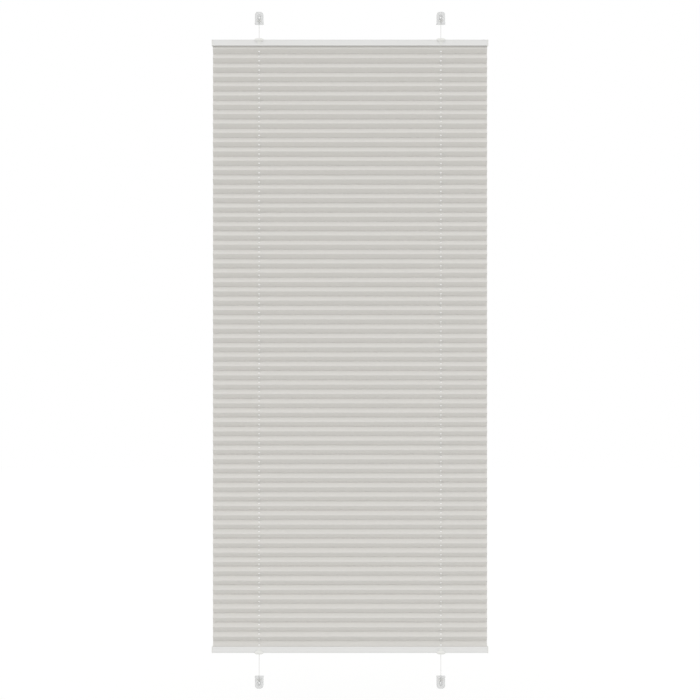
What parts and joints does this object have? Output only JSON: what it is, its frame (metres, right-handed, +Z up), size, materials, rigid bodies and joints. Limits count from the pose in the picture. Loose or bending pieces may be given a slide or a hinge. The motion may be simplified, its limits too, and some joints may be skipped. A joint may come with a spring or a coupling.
{
  "type": "pleated blind",
  "caption": "Pleated window blind with a slim rail above and below a punched, folded cloth, held by two taut cords between screw-on clear shoes.",
  "frame": {"origin": "middle of the four screw holes of the shoes, in the plane of the window frame that the shoes lie against", "axes": "+X to the right seen from the room, +Y away from the room into the window frame, +Z up; the blind hangs in front of the origin plane, at negative Y"},
  "size_m": [0.9, 0.0292, 2.2044],
  "materials": {
    "rail": "white powder coat, satin",
    "fabric": "off-white woven polyester, pressed in pleats",
    "white_plastic": "white moulded plastic, satin",
    "strip": "plain extruded plastic",
    "cord": "white braided polyester",
    "clear_plastic": "clear moulded plastic, glossy"
  },
  "bodies": {
    "root": {"upper_left_shoe": "clear_plastic", "lower_left_shoe": "clear_plastic", "upper_left_cord_stop": "white_plastic", "lower_left_cord_stop": "white_plastic", "left_cord": "cord", "upper_right_shoe": "clear_plastic", "lower_right_shoe": "clear_plastic", "upper_right_cord_stop": "white_plastic", "lower_right_cord_stop": "white_plastic", "right_cord": "cord"},
    "top_rail": {"top_rail": "rail", "top_rail_left_end_cap": "white_plastic", "top_rail_left_cord_guide": "white_plastic", "top_rail_right_end_cap": "white_plastic", "top_rail_right_cord_guide": "white_plastic", "top_fabric_strip": "strip", "pleated_fabric": "fabric"},
    "bottom_rail": {"bottom_rail": "rail", "bottom_rail_left_end_cap": "white_plastic", "bottom_rail_left_cord_guide": "white_plastic", "bottom_rail_right_end_cap": "white_plastic", "bottom_rail_right_cord_guide": "white_plastic", "bottom_fabric_strip": "strip"}
  },
  "joints": [
    {"name": "top_rail_slide", "type": "slide", "parent": "root", "child": "top_rail", "axis": [0, 0, 1], "range_m": [-1.886, 0], "deforming": ["pleated_fabric"]},
    {"name": "bottom_rail_slide", "type": "slide", "parent": "root", "child": "bottom_rail", "axis": [0, 0, 1], "range_m": [0, 1.886], "deforming": ["pleated_fabric"]}
  ]
}
